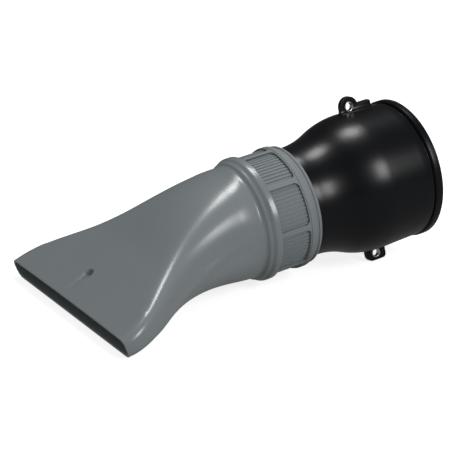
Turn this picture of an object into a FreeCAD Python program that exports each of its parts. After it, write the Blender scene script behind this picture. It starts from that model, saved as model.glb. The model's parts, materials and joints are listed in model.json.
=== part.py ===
import FreeCAD, Part
import math
import os

import Sketcher

# Flat fan nozzle for a leaf blower, with its grip collar, bell adapter and two metal ear bushes.
# The pieces are drawn about one axis, X, which runs from the mouth (x = 0) to the bell, with the
# nozzle's flat sides facing up and down. At the end the whole is laid down as it rests on a flat
# surface: on the lower lip of the mouth and on the lower ear of the adapter.

os.makedirs("parts", exist_ok=True)
doc = FreeCAD.newDocument("leaf_blower_nozzle")
Vector = FreeCAD.Vector
X_AXIS = Vector(1, 0, 0)
Y_AXIS = Vector(0, 1, 0)

# Driving dimensions, in millimetres and degrees.
DRIVING = [
    ("nozzle_length", 165.0, "mouth to the collar's rear lip"),
    ("mouth_half_width", 79.5, "outside, at the mouth"),
    ("mouth_half_height", 7.4, "outside, at the mouth"),
    ("mouth_drop", 17.0, "mouth's centre below the axis"),
    ("mouth_slant", 13.0, "the mouth faces this much below the axis"),
    ("mouth_wall", 1.5, "wall at the mouth"),
    ("panel_crown", 1.2, "rise of the top panel over its width"),
    ("corner_share", 0.76, "corner radius of a section, as a share of half its height"),
    ("tube_lead", 1.6, "plain round tube between the fan and the step to the flange"),
    ("place_a", 0.10, "first section of the fan behind the mouth, as a share of its length"),
    ("place_b", 0.27, "second section"),
    ("place_c", 0.445, "third section"),
    ("place_d", 0.63, "fourth section"),
    ("place_e", 0.90, "last section before the round tube"),
    ("spread_a", 0.97, "half width there, as a share of the way from the tube to the mouth"),
    ("spread_b", 0.69, "second section"),
    ("spread_c", 0.345, "third section"),
    ("spread_d", 0.15, "fourth section"),
    ("spread_e", 0.0, "last section"),
    ("belly_rise", 7.0, "belly's straight rise from the lower lip, over the fan's length"),
    ("belly_curve", 3.65, "power of the belly's drop to the tube"),
    ("tube_radius", 37.5, "outside of the round tube"),
    ("tube_wall", 2.3, "wall of the round tube"),
    ("flange_height", 3.9, "nozzle's flange in front of the collar, above the tube"),
    ("flange_width", 4.2, "length of the flange's full radius"),
    ("shoulder_height", 1.9, "step that leads up to the flange, above the tube"),
    ("shoulder_width", 2.2, "length of that step"),
    ("sleeve_wall", 2.1, "wall of the sleeve inside the collar"),
    ("collar_length", 30.8, "grip collar, front edge to rear lip"),
    ("collar_wall", 1.1, "collar under the ribs"),
    ("turn_gap", 0.25, "clearance between the collar and the sleeve"),
    ("rib_height", 0.8, "grip ribs above the pocket's floor"),
    ("rib_width", 1.1, "grip rib, across"),
    ("land_height", 2.1, "lands above the pocket's floor"),
    ("band_height", 2.4, "rear band above the pocket's floor"),
    ("pocket_count", 8, "grip pockets round the collar"),
    ("ribs_per_pitch", 12, "grip ribs from one pocket to the next"),
    ("pocket_angle", 40.0, "width of one pocket"),
    ("pocket_corner", 3.0, "rounded rear corners of a pocket"),
    ("pocket_length", 21.3, "pocket, from the collar's front edge"),
    ("lip_height", 1.35, "collar's rear lip above the pocket's floor"),
    ("lip_width", 2.2, "collar's rear lip"),
    ("groove_width", 1.4, "groove between the band and the lip"),
    ("groove_depth", 0.5, "groove below the lip"),
    ("fit_gap", 0.3, "clearance between the spigot and the sleeve"),
    ("spigot_length", 27.0, "adapter's spigot inside the sleeve"),
    ("spigot_wall", 2.2, "wall of the spigot"),
    ("neck_length", 6.0, "straight neck behind the lip"),
    ("neck_inset", 0.5, "neck is this much thinner than the nozzle's tube"),
    ("cone_length", 48.0, "double curve from the neck to the bell"),
    ("bore_share", 0.2, "part of the double curve over which its bore eases in and out"),
    ("bell_radius", 47.1, "outside of the bell"),
    ("bell_wall", 2.4, "wall of the bell"),
    ("bell_length", 30.0, "bell, from the curve's end to its groove"),
    ("bell_taper", 0.8, "bell narrows by this much towards the groove"),
    ("seam_width", 1.2, "groove in front of the rim"),
    ("seam_depth", 0.9, "depth of that groove"),
    ("rim_height", 0.3, "rim above the bell"),
    ("rim_width", 5.8, "length of the rim"),
    ("rim_bevel", 0.9, "broken edges of the rim"),
    ("rim_lead", 1.0, "lead-in chamfer inside the rim"),
    ("ear_station", 57.9, "ears' holes behind the collar's lip"),
    ("ear_rise", 3.9, "ears' holes above the bell"),
    ("ear_thickness", 3.0, "ears, across"),
    ("ear_fillet", 3.0, "hollow curve from an ear down to the bell"),
    ("ear_sink", 0.5, "that curve ends this far below the bell's skin"),
    ("ear_lobe", 6.8, "radius of the upper ear round its hole"),
    ("ear_web", 17.0, "upper ear's web, from its hole to its rear end"),
    ("ear_web_rise", 0.9, "web's edge above the hole's centre"),
    ("ear_foot", 7.6, "lower ear, from its hole to either side"),
    ("ear_drop", 5.1, "lower ear's edge below its hole"),
    ("ear_corner", 2.6, "rounded rear corners of the ears"),
    ("ear_round", 4.8, "rounded front corner of the lower ear"),
    ("ear_turn", 10.0, "adapter is turned this much about the axis"),
    ("bush_radius", 3.3, "outside of an ear's metal bush"),
    ("bush_bore", 2.5, "bore radius of the bush"),
    ("bush_proud", 0.35, "bush stands out of the ear by this much"),
    ("dimple_start", 7.2, "tip of the dimple behind the mouth"),
    ("dimple_side", 4.2, "dimple's middle beside the axis"),
    ("dimple_length", 15.3, "dimple, tip to round end"),
    ("dimple_radius", 3.6, "round end of the dimple"),
    ("dimple_depth", 0.9, "depth of the dimple at its round end"),
    ("dimple_tip_depth", 0.15, "depth of the dimple at its tip"),
]

# Sizes that follow from the driving ones.
DERIVED = [
    ("mouth_top", "mouth_half_height - mouth_drop"),
    ("mouth_bottom", "-mouth_half_height - mouth_drop"),
    ("mouth_low", "-mouth_half_height"),
    ("mouth_corner", "corner_share * mouth_half_height"),
    ("mouth_bend", "(mouth_half_width ^ 2 + panel_crown ^ 2) / (2 * panel_crown)"),
    ("shoulder_radius", "tube_radius + shoulder_height"),
    ("flange_radius", "tube_radius + flange_height"),
    ("collar_front", "nozzle_length - collar_length"),
    ("flange_front", "collar_front - turn_gap - flange_width"),
    ("flange_back", "collar_front - turn_gap"),
    ("flange_foot", "flange_front - (flange_radius - shoulder_radius)"),
    ("shoulder_front", "flange_foot - shoulder_width"),
    ("shoulder_foot", "shoulder_front - shoulder_height / 2"),
    ("fan_length", "shoulder_foot - tube_lead"),
    ("tube_bore", "tube_radius - tube_wall"),
    ("sleeve_radius", "tube_bore + sleeve_wall"),
    ("sleeve_end", "nozzle_length - 2 * turn_gap"),
    ("collar_bore", "sleeve_radius + turn_gap"),
    ("floor_radius", "collar_bore + collar_wall"),
    ("rib_radius", "floor_radius + rib_height"),
    ("land_radius", "floor_radius + land_height"),
    ("band_radius", "floor_radius + band_height"),
    ("pocket_end", "collar_front + pocket_length"),
    ("lip_radius", "floor_radius + lip_height"),
    ("lip_front", "nozzle_length - lip_width"),
    ("lip_back", "nozzle_length - lip_width / 3"),
    ("lip_edge_radius", "lip_radius - lip_width / 3"),
    ("groove_front", "lip_front - groove_width"),
    ("groove_radius", "lip_radius - groove_depth"),
    ("band_back", "groove_front - (band_radius - groove_radius)"),
    ("band_front", "pocket_end + pocket_corner / 3"),
    ("spigot_radius", "tube_bore - fit_gap"),
    ("spigot_bore", "spigot_radius - spigot_wall"),
    ("spigot_front", "nozzle_length - spigot_length"),
    ("neck_radius", "tube_radius - neck_inset"),
    ("neck_front", "nozzle_length - turn_gap / 2"),
    ("neck_back", "nozzle_length + neck_length"),
    ("neck_bore", "neck_radius - bell_wall"),
    ("cone_back", "neck_back + cone_length"),
    ("cone_rise", "bell_radius - neck_radius"),
    ("cone_middle", "(neck_back + cone_back) / 2"),
    ("cone_middle_radius", "(neck_radius + bell_radius) / 2"),
    ("cone_bend", "(cone_length ^ 2 + cone_rise ^ 2) / (4 * cone_rise)"),
    ("socket_radius", "bell_radius - bell_wall"),
    ("bore_ease", "cone_rise * 2 * bore_share ^ 2"),
    ("bore_front", "neck_back + cone_length * bore_share"),
    ("bore_back", "cone_back - cone_length * bore_share"),
    ("bore_front_radius", "neck_bore + bore_ease"),
    ("bore_back_radius", "socket_radius - bore_ease"),
    ("bell_back", "cone_back + bell_length"),
    ("bell_back_radius", "bell_radius - bell_taper"),
    ("seam_radius", "bell_back_radius - seam_depth"),
    ("seam_back", "bell_back + seam_width"),
    ("rim_back", "seam_back + rim_width"),
    ("rim_radius", "bell_radius + rim_height"),
    ("rim_front_bevel", "seam_back + rim_bevel"),
    ("rim_back_bevel", "rim_back - rim_bevel"),
    ("rim_edge_radius", "rim_radius - rim_bevel"),
    ("lead_radius", "socket_radius + rim_lead"),
    ("lead_front", "rim_back - rim_lead"),
    ("ear_centre", "nozzle_length + ear_station"),
    ("ear_reach", "bell_radius + ear_rise"),
    ("ear_root", "bell_radius - bell_wall / 2"),
    ("ear_front", "ear_centre - ear_lobe"),
    ("ear_top", "ear_reach + ear_lobe"),
    ("ear_web_top", "ear_reach + ear_web_rise"),
    ("ear_web_start", "ear_centre + sqrt(ear_lobe ^ 2 - ear_web_rise ^ 2)"),
    ("ear_web_end", "ear_centre + ear_web"),
    ("ear_web_round", "ear_web_end - ear_corner / 2"),
    ("ear_web_side", "ear_web_top - ear_corner / 2"),
    ("web_corner", "ear_corner / 2"),
    ("foot_front", "ear_centre - ear_foot"),
    ("foot_back", "ear_centre + ear_foot"),
    ("foot_front_round", "foot_front + ear_round"),
    ("foot_back_round", "foot_back - ear_corner"),
    ("foot_root", "-ear_root"),
    ("foot_low", "-ear_reach - ear_drop"),
    ("foot_side", "foot_low + ear_corner"),
    ("foot_front_side", "foot_low + ear_round"),
    ("lower_hole", "-ear_reach"),
    ("curve_in", "ear_thickness / 2"),
    ("curve_in_left", "-curve_in"),
    ("curve_out", "curve_in + ear_fillet"),
    ("curve_out_left", "-curve_out"),
    ("curve_base", "bell_radius - ear_sink"),
    ("curve_base_low", "-curve_base"),
    ("curve_crest", "curve_base + ear_fillet"),
    ("curve_crest_low", "-curve_crest"),
    ("upper_curve_length", "ear_web_end - ear_front"),
    ("lower_curve_length", "foot_back - foot_front"),
    ("bush_length", "ear_thickness + 2 * bush_proud"),
    ("panel_slope", "atan((tube_radius - mouth_top) / fan_length)"),
    ("dimple_end", "dimple_start + dimple_length - dimple_radius"),
    ("dimple_fall", "atan((dimple_depth - dimple_tip_depth) / dimple_length)"),
    ("dimple_lean", "panel_slope - dimple_fall"),
    ("dimple_climb", "dimple_start * (cos(dimple_lean) * tan(panel_slope) - sin(dimple_lean))"),
    ("dimple_plane", "mouth_top - dimple_tip_depth + dimple_climb"),
    ("rib_base", "floor_radius - collar_wall / 3"),
    ("rib_count", "pocket_count * ribs_per_pitch"),
    ("shell_bore", "floor_radius - collar_wall / 3"),
    ("shell_end", "band_front + groove_width / 2"),
    ("pocket_half_width", "land_radius * sin(pocket_angle / 2)"),
    ("pocket_mouth", "collar_front - pocket_corner"),
]


SECTIONS = "abcde"


def section_names(letter):
    """Names of the sizes of one section of the fan."""
    keys = ("at", "half_width", "top", "bottom", "corner", "wall", "bend")
    return {key: f"section_{key}_{letter}" for key in keys}


def section_sizes():
    """Formulas of the fan's sections.

    The top panel slopes straight up to the tube. The belly rises a little behind the lower lip and
    then drops to the tube. The wall thickens evenly.
    """
    rows = []
    for letter in SECTIONS:
        name = section_names(letter)
        place = f"place_{letter}"
        rows += [
            (name["at"], f"fan_length * {place}"),
            (name["half_width"],
             f"tube_radius + (mouth_half_width - tube_radius) * spread_{letter}"),
            (name["top"], f"mouth_top + (tube_radius - mouth_top) * {place}"),
            (name["bottom"], f"mouth_bottom + belly_rise * {place}"
                             f" - (tube_radius + mouth_bottom + belly_rise) * {place} ^ belly_curve"),
            (name["corner"], f"corner_share * ({name['top']} - {name['bottom']}) / 2"),
            (name["wall"], f"mouth_wall + (tube_wall - mouth_wall) * {place}"),
            (name["bend"], f"({name['half_width']} ^ 2 + panel_crown ^ 2) / (2 * panel_crown)"),
        ]
    return rows


def make_sheet():
    """The spreadsheet that holds every size under its name."""
    sheet = doc.addObject("Spreadsheet::Sheet", "sizes")
    row = 1
    for name, value, note in DRIVING:
        sheet.set(f"A{row}", name)
        sheet.set(f"B{row}", str(value))
        sheet.setAlias(f"B{row}", name)
        sheet.set(f"C{row}", note)
        row += 1
    for name, formula in DERIVED + section_sizes():
        sheet.set(f"A{row}", name)
        sheet.set(f"B{row}", "=" + formula)
        sheet.setAlias(f"B{row}", name)
        row += 1
    doc.recompute()
    return sheet


def origin_plane(body, role):
    """The body's own origin plane, such as XY_Plane."""
    return next(item for item in body.Origin.OriginFeatures if item.Role == role)


def new_body(label):
    body = doc.addObject("PartDesign::Body", label)
    body.Label = label
    return body


def new_sketch(body, name, role):
    """An empty sketch on one of the body's origin planes."""
    sketch = body.newObject("Sketcher::SketchObject", name)
    sketch.AttachmentSupport = [(origin_plane(body, role), "")]
    sketch.MapMode = "FlatFace"
    return sketch


def size(name):
    """A size of the sheet, as a plain number."""
    value = sheet.get(name)
    return float(value.Value) if hasattr(value, "Value") else float(value)


def pin_point(sketch, edge, end, across, up):
    """Tie a point of the sketch to two named sizes, measured from the sketch's origin."""
    for kind, name in (("DistanceX", across), ("DistanceY", up)):
        tie(sketch, Sketcher.Constraint(kind, -1, 1, edge, end, size(name)), name)


def tie(sketch, constraint, name):
    """Add a constraint whose value follows a size of the sheet."""
    index = sketch.addConstraint(constraint)
    sketch.setExpression(f"Constraints[{index}]", f"sizes.{name}")


def arc_between(start, end, radius, upward):
    """Arc of a given radius between two points, bulging up in the sketch or down."""
    along = end - start
    normal = Vector(-along.y, along.x, 0).normalize()
    if (normal.y < 0) == upward:
        normal = -normal
    sagitta = radius - math.sqrt(radius ** 2 - along.Length ** 2 / 4)
    middle = (start + end) / 2 + normal * sagitta
    if along.cross(normal).z > 0:
        start, end = end, start
    return Part.Arc(start, middle, end)


def outline(sketch, points, arcs):
    """Closed outline through named (across, up) points.

    arcs holds, by the number of the point where the span starts, the name of the span's radius
    and whether it bulges upward; the other spans are straight.
    """
    places = [Vector(size(across), size(up), 0) for across, up in points]
    ends = []
    for index, start in enumerate(places):
        end = places[(index + 1) % len(places)]
        if index in arcs:
            radius, upward = arcs[index]
            sketch.addGeometry(arc_between(start, end, size(radius), upward), False)
            first = sketch.Geometry[index].StartPoint
            ends.append((1, 2) if (first - start).Length < (first - end).Length else (2, 1))
        else:
            sketch.addGeometry(Part.LineSegment(start, end), False)
            ends.append((1, 2))
    for index, names in enumerate(points):
        after = (index + 1) % len(points)
        joint = Sketcher.Constraint("Coincident", index, ends[index][1], after, ends[after][0])
        sketch.addConstraint(joint)
        pin_point(sketch, index, ends[index][0], *names)
    for start, (radius, _) in arcs.items():
        tie(sketch, Sketcher.Constraint("Radius", start, size(radius)), radius)
    return sketch


def origin_axis(body):
    """The body's X axis, about which everything round is turned."""
    return (next(item for item in body.Origin.OriginFeatures if item.Role == "X_Axis"), [""])


def revolve(body, name, points, arcs=None):
    """Turn a closed outline of named (x, radius) points once about the X axis."""
    sketch = outline(new_sketch(body, name + "_outline", "XZ_Plane"), points, arcs or {})
    feature = body.newObject("PartDesign::Revolution", name)
    feature.Profile = sketch
    feature.ReferenceAxis = origin_axis(body)
    feature.Angle = 360
    doc.recompute()
    return feature


def pad(body, name, sketch, length):
    """Pad the sketch to both sides of its plane."""
    feature = body.newObject("PartDesign::Pad", name)
    feature.Profile = sketch
    feature.SideType = "Symmetric"
    feature.setExpression("Length", f"sizes.{length}")
    doc.recompute()
    return feature


def polar_pattern(body, name, original, count):
    """Repeat a feature evenly round the X axis."""
    pattern = body.newObject("PartDesign::PolarPattern", name)
    pattern.Originals = [original]
    pattern.Axis = origin_axis(body)
    pattern.Angle = 360
    pattern.setExpression("Occurrences", f"sizes.{count}")
    body.Tip = pattern
    doc.recompute()
    return pattern


def section_spans(half_width, upper, lower, touch, crest, corner, bend):
    """Edges of one section of the fan, anticlockwise from the crowned panel on top."""
    right = half_width - corner
    lean = math.atan2(crest - upper, touch - right) / 2
    shoulder = Vector(math.cos(lean), math.sin(lean), 0) * corner
    elbow = Vector(1, -1, 0).normalize() * corner
    top = Vector(0, crest + bend - math.sqrt(bend ** 2 - touch ** 2), 0)
    bottom = lower - corner
    return [
        Part.Arc(Vector(touch, crest, 0), top, Vector(-touch, crest, 0)),
        Part.Arc(Vector(-touch, crest, 0), Vector(-right - shoulder.x, upper + shoulder.y, 0),
                 Vector(-half_width, upper, 0)),
        Part.LineSegment(Vector(-half_width, upper, 0), Vector(-half_width, lower, 0)),
        Part.Arc(Vector(-half_width, lower, 0), Vector(-right - elbow.x, lower + elbow.y, 0),
                 Vector(-right, bottom, 0)),
        Part.LineSegment(Vector(-right, bottom, 0), Vector(right, bottom, 0)),
        Part.Arc(Vector(right, bottom, 0), Vector(right + elbow.x, lower + elbow.y, 0),
                 Vector(half_width, lower, 0)),
        Part.LineSegment(Vector(half_width, lower, 0), Vector(half_width, upper, 0)),
        Part.Arc(Vector(half_width, upper, 0), Vector(right + shoulder.x, upper + shoulder.y, 0),
                 Vector(touch, crest, 0)),
    ]


def fan_section(body, name, names, inner):
    """One section of the fan, or of its hollow when inner is true.

    The panel on top is crowned, the belly and the flanks are straight and the corners are equal.
    The hollow's outline runs parallel to the outer one, one wall further in.
    """
    sketch = new_sketch(body, name, "YZ_Plane")
    wall = size(names["wall"]) if inner else 0.0
    half_width, corner, bend = (size(names[key]) - wall for key in ("half_width", "corner", "bend"))
    centre = size(names["top"]) - size(names["bend"])
    reach = math.sqrt((bend - corner) ** 2 - (half_width - corner) ** 2)
    share = bend / (bend - corner)
    lower = size(names["bottom"]) + wall + corner
    spans = section_spans(half_width, centre + reach, lower, (half_width - corner) * share,
                          centre + reach * share, corner, bend)
    sketch.addGeometry(spans, False)
    for edge in range(8):
        sketch.addConstraint(Sketcher.Constraint("Tangent", edge, 2, (edge + 1) % 8, 1))
    for edge in (3, 5, 7):
        sketch.addConstraint(Sketcher.Constraint("Equal", 1, edge))
    sketch.addConstraint(Sketcher.Constraint("Vertical", 2))
    sketch.addConstraint(Sketcher.Constraint("PointOnObject", 0, 3, -2))
    less = f" - sizes.{names['wall']}" if inner else ""
    more = f" + sizes.{names['wall']}" if inner else ""
    ties = [
        (Sketcher.Constraint("Radius", 0, bend), f"sizes.{names['bend']}{less}"),
        (Sketcher.Constraint("Radius", 1, corner), f"sizes.{names['corner']}{less}"),
        (Sketcher.Constraint("DistanceX", -1, 1, 6, 1, half_width),
         f"sizes.{names['half_width']}{less}"),
        (Sketcher.Constraint("DistanceX", 2, 1, -1, 1, half_width),
         f"sizes.{names['half_width']}{less}"),
        (Sketcher.Constraint("DistanceY", 0, 3, -1, 1, -centre),
         f"sizes.{names['bend']} - sizes.{names['top']}"),
        (Sketcher.Constraint("DistanceY", 4, 1, -1, 1, corner - lower),
         f"-sizes.{names['bottom']}{less}"),
    ]
    for constraint, formula in ties:
        index = sketch.addConstraint(constraint)
        sketch.setExpression(f"Constraints[{index}]", formula)
    return sketch


def round_section(body, name, radius_name):
    """The last section of the fan: the tube's circle, in eight arcs like the other outlines."""
    sketch = new_sketch(body, name, "YZ_Plane")
    radius = size(radius_name)
    flat = 8.0
    turns = [90 - flat, 90 + flat, 180 - flat, 180 + flat, 270 - flat, 270 + flat, 360 - flat,
             360 + flat, 450 - flat]
    circle = Part.Circle(Vector(0, 0, 0), Vector(0, 0, 1), radius)
    arcs = [Part.ArcOfCircle(circle, math.radians(first), math.radians(last))
            for first, last in zip(turns, turns[1:])]
    sketch.addGeometry(arcs, False)
    for edge in range(8):
        sketch.addConstraint(Sketcher.Constraint("Coincident", edge, 3, -1, 1))
    for edge in range(7):
        sketch.addConstraint(Sketcher.Constraint("Coincident", edge, 2, edge + 1, 1))
    sketch.addConstraint(Sketcher.Constraint("Vertical", 7, 2, 0, 1))
    tie(sketch, Sketcher.Constraint("Radius", 0, radius), radius_name)
    sketch.setExpression("AttachmentOffset.Base.z", "sizes.fan_length")
    return sketch


MOUTH_NAMES = {
    "half_width": "mouth_half_width", "top": "mouth_half_height", "bottom": "mouth_low",
    "corner": "mouth_corner", "wall": "mouth_wall", "bend": "mouth_bend",
}


def fan_sections(body, inner):
    """All sections of the fan or of its hollow, from the mouth to the tube."""
    kind = "hollow" if inner else "fan"
    mouth = fan_section(body, f"{kind}_mouth", MOUTH_NAMES, inner)
    mouth.AttachmentOffset = FreeCAD.Placement(Vector(0, -size("mouth_drop"), 0),
                                               FreeCAD.Rotation(-X_AXIS, size("mouth_slant")))
    mouth.setExpression("AttachmentOffset.Base.y", "-sizes.mouth_drop")
    mouth.setExpression("AttachmentOffset.Rotation.Angle", "sizes.mouth_slant")
    sketches = [mouth]
    for letter in SECTIONS:
        names = section_names(letter)
        sketch = fan_section(body, f"{kind}_section_{letter}", names, inner)
        sketch.setExpression("AttachmentOffset.Base.z", f"sizes.{names['at']}")
        sketches.append(sketch)
    sketches.append(round_section(body, f"{kind}_round", "tube_bore" if inner else "tube_radius"))
    doc.recompute()
    return sketches


def loft(body, name, kind, sketches):
    """Smooth loft through the sketches, added to the body or taken out of it."""
    feature = body.newObject(kind, name)
    feature.Profile = sketches[0]
    feature.Sections = sketches[1:]
    feature.Ruled = False
    doc.recompute()
    return feature


def cut_dimple(body):
    """Teardrop recess in the top panel, shallow at its tip and deeper at its round end."""
    sketch = new_sketch(body, "dimple_outline", "XY_Plane")
    radius, end, start = size("dimple_radius"), size("dimple_end"), size("dimple_start")
    lean = math.asin(radius / (end - start))
    touch = Vector(end - radius * math.sin(lean), radius * math.cos(lean), 0)
    tip = Vector(start, 0, 0)
    sketch.addGeometry([
        Part.LineSegment(tip, Vector(touch.x, -touch.y, 0)),
        Part.Arc(Vector(touch.x, -touch.y, 0), Vector(end + radius, 0, 0), touch),
        Part.LineSegment(touch, tip),
    ], False)
    sketch.addConstraint(Sketcher.Constraint("Tangent", 0, 2, 1, 1))
    sketch.addConstraint(Sketcher.Constraint("Tangent", 1, 2, 2, 1))
    sketch.addConstraint(Sketcher.Constraint("Coincident", 2, 2, 0, 1))
    sketch.addConstraint(Sketcher.Constraint("PointOnObject", 0, 1, -1))
    sketch.addConstraint(Sketcher.Constraint("PointOnObject", 1, 3, -1))
    tie(sketch, Sketcher.Constraint("DistanceX", -1, 1, 0, 1, start), "dimple_start")
    tie(sketch, Sketcher.Constraint("DistanceX", -1, 1, 1, 3, end), "dimple_end")
    tie(sketch, Sketcher.Constraint("Radius", 1, radius), "dimple_radius")
    sketch.AttachmentOffset = FreeCAD.Placement(Vector(), FreeCAD.Rotation(-Y_AXIS, 1))
    sketch.setExpression("AttachmentOffset.Base.y", "sizes.dimple_side")
    sketch.setExpression("AttachmentOffset.Base.z", "sizes.dimple_plane")
    sketch.setExpression("AttachmentOffset.Rotation.Angle", "sizes.dimple_lean")
    cut = body.newObject("PartDesign::Pocket", "dimple")
    cut.Profile = sketch
    cut.Type = "ThroughAll"
    cut.Reversed = True
    doc.recompute()


def make_nozzle():
    """Flat fan nozzle: fan with its hollow, round tube, stepped flange and the sleeve behind it."""
    body = new_body("flat_nozzle")
    loft(body, "fan", "PartDesign::AdditiveLoft", fan_sections(body, False))
    loft(body, "hollow", "PartDesign::SubtractiveLoft", fan_sections(body, True))
    revolve(body, "tube", [
        ("fan_length", "tube_bore"), ("fan_length", "tube_radius"),
        ("shoulder_foot", "tube_radius"), ("shoulder_front", "shoulder_radius"),
        ("flange_foot", "shoulder_radius"), ("flange_front", "flange_radius"),
        ("flange_back", "flange_radius"), ("flange_back", "sleeve_radius"),
        ("sleeve_end", "sleeve_radius"), ("sleeve_end", "tube_bore"),
    ])
    cut_dimple(body)
    return body


def cut_pockets(body):
    """Open-fronted grip pockets with rounded rear corners, all round the collar's shell."""
    sketch = new_sketch(body, "pocket_outline", "XY_Plane")
    mouth, end, side, corner = (size(name) for name in (
        "pocket_mouth", "pocket_end", "pocket_half_width", "pocket_corner"))
    quarter = corner * (1 - math.sqrt(0.5))
    sketch.addGeometry([
        Part.LineSegment(Vector(mouth, -side, 0), Vector(end - corner, -side, 0)),
        Part.Arc(Vector(end - corner, -side, 0), Vector(end - quarter, quarter - side, 0),
                 Vector(end, corner - side, 0)),
        Part.LineSegment(Vector(end, corner - side, 0), Vector(end, side - corner, 0)),
        Part.Arc(Vector(end, side - corner, 0), Vector(end - quarter, side - quarter, 0),
                 Vector(end - corner, side, 0)),
        Part.LineSegment(Vector(end - corner, side, 0), Vector(mouth, side, 0)),
        Part.LineSegment(Vector(mouth, side, 0), Vector(mouth, -side, 0)),
    ], False)
    for edge in range(4):
        sketch.addConstraint(Sketcher.Constraint("Tangent", edge, 2, edge + 1, 1))
    for edge in (4, 5):
        sketch.addConstraint(Sketcher.Constraint("Coincident", edge, 2, (edge + 1) % 6, 1))
    sketch.addConstraint(Sketcher.Constraint("Horizontal", 0))
    sketch.addConstraint(Sketcher.Constraint("Vertical", 2))
    sketch.addConstraint(Sketcher.Constraint("Equal", 1, 3))
    sketch.addConstraint(Sketcher.Constraint("Symmetric", 0, 1, 4, 2, -1))
    tie(sketch, Sketcher.Constraint("DistanceX", -1, 1, 0, 1, mouth), "pocket_mouth")
    tie(sketch, Sketcher.Constraint("DistanceX", -1, 1, 2, 1, end), "pocket_end")
    tie(sketch, Sketcher.Constraint("DistanceY", -1, 1, 4, 1, side), "pocket_half_width")
    tie(sketch, Sketcher.Constraint("Radius", 1, corner), "pocket_corner")
    cut = body.newObject("PartDesign::Pocket", "pocket")
    cut.Profile = sketch
    cut.Type = "ThroughAll"
    cut.Reversed = True
    doc.recompute()
    polar_pattern(body, "pockets", cut, "pocket_count")


def add_ribs(body):
    """Fine grip ribs all round the collar's core; the lands cover those between the pockets."""
    sketch = new_sketch(body, "rib_outline", "YZ_Plane")
    side, low, high = size("rib_width") / 2, size("rib_base"), size("rib_radius")
    corners = [Vector(-side, low, 0), Vector(side, low, 0), Vector(side, high, 0),
               Vector(-side, high, 0)]
    for start, end in zip(corners, corners[1:] + corners[:1]):
        sketch.addGeometry(Part.LineSegment(start, end), False)
    for edge in range(4):
        sketch.addConstraint(Sketcher.Constraint("Coincident", edge, 2, (edge + 1) % 4, 1))
    for edge, kind in ((1, "Vertical"), (2, "Horizontal"), (3, "Vertical")):
        sketch.addConstraint(Sketcher.Constraint(kind, edge))
    sketch.addConstraint(Sketcher.Constraint("Symmetric", 0, 1, 0, 2, -2))
    tie(sketch, Sketcher.Constraint("DistanceX", 0, 1, 0, 2, 2 * side), "rib_width")
    tie(sketch, Sketcher.Constraint("DistanceY", -1, 1, 0, 1, low), "rib_base")
    tie(sketch, Sketcher.Constraint("DistanceY", -1, 1, 2, 1, high), "rib_radius")
    sketch.setExpression("AttachmentOffset.Base.z", "sizes.collar_front")
    rib = body.newObject("PartDesign::Pad", "rib")
    rib.Profile = sketch
    rib.setExpression("Length", "sizes.pocket_length + sizes.pocket_corner / 3")
    doc.recompute()
    polar_pattern(body, "ribs", rib, "rib_count")


def make_collar():
    """Grip collar: a ribbed core inside a shell whose pockets leave lands, with band and lip."""
    core = new_body("collar_core")
    revolve(core, "core", [
        ("collar_front", "collar_bore"), ("collar_front", "floor_radius"),
        ("band_front", "floor_radius"), ("band_front", "band_radius"),
        ("band_back", "band_radius"), ("groove_front", "groove_radius"),
        ("lip_front", "groove_radius"), ("lip_front", "lip_radius"),
        ("lip_back", "lip_radius"), ("nozzle_length", "lip_edge_radius"),
        ("nozzle_length", "collar_bore"),
    ])
    add_ribs(core)
    shell = new_body("collar_shell")
    revolve(shell, "shell", [
        ("collar_front", "shell_bore"), ("collar_front", "land_radius"),
        ("shell_end", "land_radius"), ("shell_end", "shell_bore"),
    ])
    cut_pockets(shell)
    collar = doc.addObject("Part::Fuse", "grip_collar")
    collar.Label = "grip_collar"
    collar.Base = core
    collar.Tool = shell
    collar.Refine = True
    doc.recompute()
    return collar


def add_ear(body, name, points, arcs):
    """One ear of the adapter: a thin plate that holds the axis in its plane."""
    sketch = outline(new_sketch(body, name + "_outline", "XZ_Plane"), points, arcs)
    pad(body, name, sketch, "ear_thickness")


def add_ear_curve(body, name, start, length, heights, upward):
    """Hollow curves that spread the foot of an ear on both sides, down to the bell."""
    root, base, crest = heights
    sketch = outline(new_sketch(body, name + "_outline", "YZ_Plane"), [
        ("curve_out_left", root), ("curve_out_left", base), ("curve_in_left", crest),
        ("curve_in", crest), ("curve_out", base), ("curve_out", root),
    ], {1: ("ear_fillet", not upward), 3: ("ear_fillet", not upward)})
    sketch.setExpression("AttachmentOffset.Base.z", f"sizes.{start}")
    feature = body.newObject("PartDesign::Pad", name)
    feature.Profile = sketch
    feature.setExpression("Length", f"sizes.{length}")
    doc.recompute()


def bore_ears(body):
    """Seats of the two bushes, through both ears."""
    sketch = new_sketch(body, "ear_seats", "XZ_Plane")
    for index, height in enumerate(("ear_reach", "lower_hole")):
        centre = Vector(size("ear_centre"), size(height), 0)
        sketch.addGeometry(Part.Circle(centre, Vector(0, 0, 1), size("bush_radius")), False)
        pin_point(sketch, index, 3, "ear_centre", height)
        tie(sketch, Sketcher.Constraint("Radius", index, size("bush_radius")), "bush_radius")
    cut = body.newObject("PartDesign::Pocket", "ear_bores")
    cut.Profile = sketch
    cut.SideType = "Symmetric"
    cut.Type = "ThroughAll"
    doc.recompute()


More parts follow.
